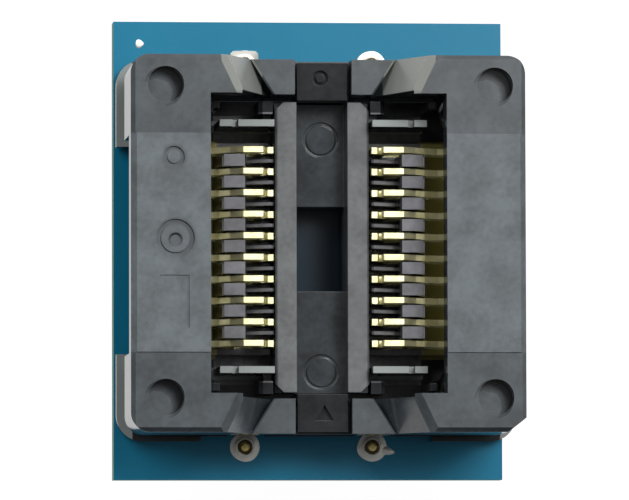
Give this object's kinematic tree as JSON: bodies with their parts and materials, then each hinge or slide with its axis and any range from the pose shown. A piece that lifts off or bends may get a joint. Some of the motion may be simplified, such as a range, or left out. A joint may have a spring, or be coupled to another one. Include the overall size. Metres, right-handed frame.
{
  "type": "zero insertion force chip socket on a plug-in adaptor board",
  "caption": "Open-top zero insertion force socket for a wide small-outline chip, on a blue adaptor board with a dual-in-line plug; pressing the frame-shaped cover opens its contacts.",
  "frame": {"origin": "centre of the plug's pin grid, on the underside of its header strips", "axes": "+Z out of the open top of the socket, +Y along the rows of contacts, towards the square solder land of the first plug pin"},
  "size_m": [0.024, 0.0274, 0.0172],
  "materials": {
    "board_mask": "blue solder mask, glossy",
    "header_plastic": "black, moulded",
    "pin_gold": "turned, gold plated",
    "solder": "bright tin solder",
    "base_plastic": "dark grey, moulded",
    "seat_plastic": "grey, moulded",
    "cover_plastic": "dark grey, finely textured",
    "contact_gold": "blanked sheet, gold plated",
    "spring_steel": "drawn wire"
  },
  "bodies": {
    "socket_body": {"board": "board_mask", "left_header_strip": "header_plastic", "left_plug_pins": "pin_gold", "left_pin_solder": "solder", "left_tail_solder": "solder", "right_header_strip": "header_plastic", "right_plug_pins": "pin_gold", "right_pin_solder": "solder", "right_tail_solder": "solder", "base": "base_plastic", "chip_seat": "seat_plastic", "front_left_spring": "spring_steel", "front_right_spring": "spring_steel", "back_left_spring": "spring_steel", "back_right_spring": "spring_steel", "left_contact_1": "contact_gold", "left_contact_2": "contact_gold", "left_contact_3": "contact_gold", "left_contact_4": "contact_gold", "left_contact_5": "contact_gold", "left_contact_6": "contact_gold", "left_contact_7": "contact_gold", "left_contact_8": "contact_gold", "left_contact_9": "contact_gold", "left_contact_10": "contact_gold", "right_contact_1": "contact_gold", "right_contact_2": "contact_gold", "right_contact_3": "contact_gold", "right_contact_4": "contact_gold", "right_contact_5": "contact_gold", "right_contact_6": "contact_gold", "right_contact_7": "contact_gold", "right_contact_8": "contact_gold", "right_contact_9": "contact_gold", "right_contact_10": "contact_gold"},
    "cover": {"cover": "cover_plastic"},
    "left_arms": {"left_contact_arm_1": "contact_gold", "left_contact_arm_2": "contact_gold", "left_contact_arm_3": "contact_gold", "left_contact_arm_4": "contact_gold", "left_contact_arm_5": "contact_gold", "left_contact_arm_6": "contact_gold", "left_contact_arm_7": "contact_gold", "left_contact_arm_8": "contact_gold", "left_contact_arm_9": "contact_gold", "left_contact_arm_10": "contact_gold"},
    "right_arms": {"right_contact_arm_1": "contact_gold", "right_contact_arm_2": "contact_gold", "right_contact_arm_3": "contact_gold", "right_contact_arm_4": "contact_gold", "right_contact_arm_5": "contact_gold", "right_contact_arm_6": "contact_gold", "right_contact_arm_7": "contact_gold", "right_contact_arm_8": "contact_gold", "right_contact_arm_9": "contact_gold", "right_contact_arm_10": "contact_gold"}
  },
  "joints": [
    {"name": "cover_press", "type": "slide", "parent": "socket_body", "child": "cover", "axis": [0, 0, -1], "range_m": [0, 0.002], "stiffness_N_per_m": 8000, "springref_m": -0.001, "deforming": ["front_left_spring", "front_right_spring", "back_left_spring", "back_right_spring"]},
    {"name": "left_arm_swing", "type": "hinge", "parent": "socket_body", "child": "left_arms", "pos_m": [-0.0053, 0.00023, 0.007], "axis": [0, -1, 0], "range_deg": [0, 28]},
    {"name": "right_arm_swing", "type": "hinge", "parent": "socket_body", "child": "right_arms", "pos_m": [0.0061, 0.00023, 0.007], "axis": [0, 1, 0], "range_deg": [0, 28]}
  ],
  "couplings": [
    {"joint": "left_arm_swing", "follows": "cover_press", "rad_per_m": 244.3},
    {"joint": "right_arm_swing", "follows": "cover_press", "rad_per_m": 244.3}
  ]
}
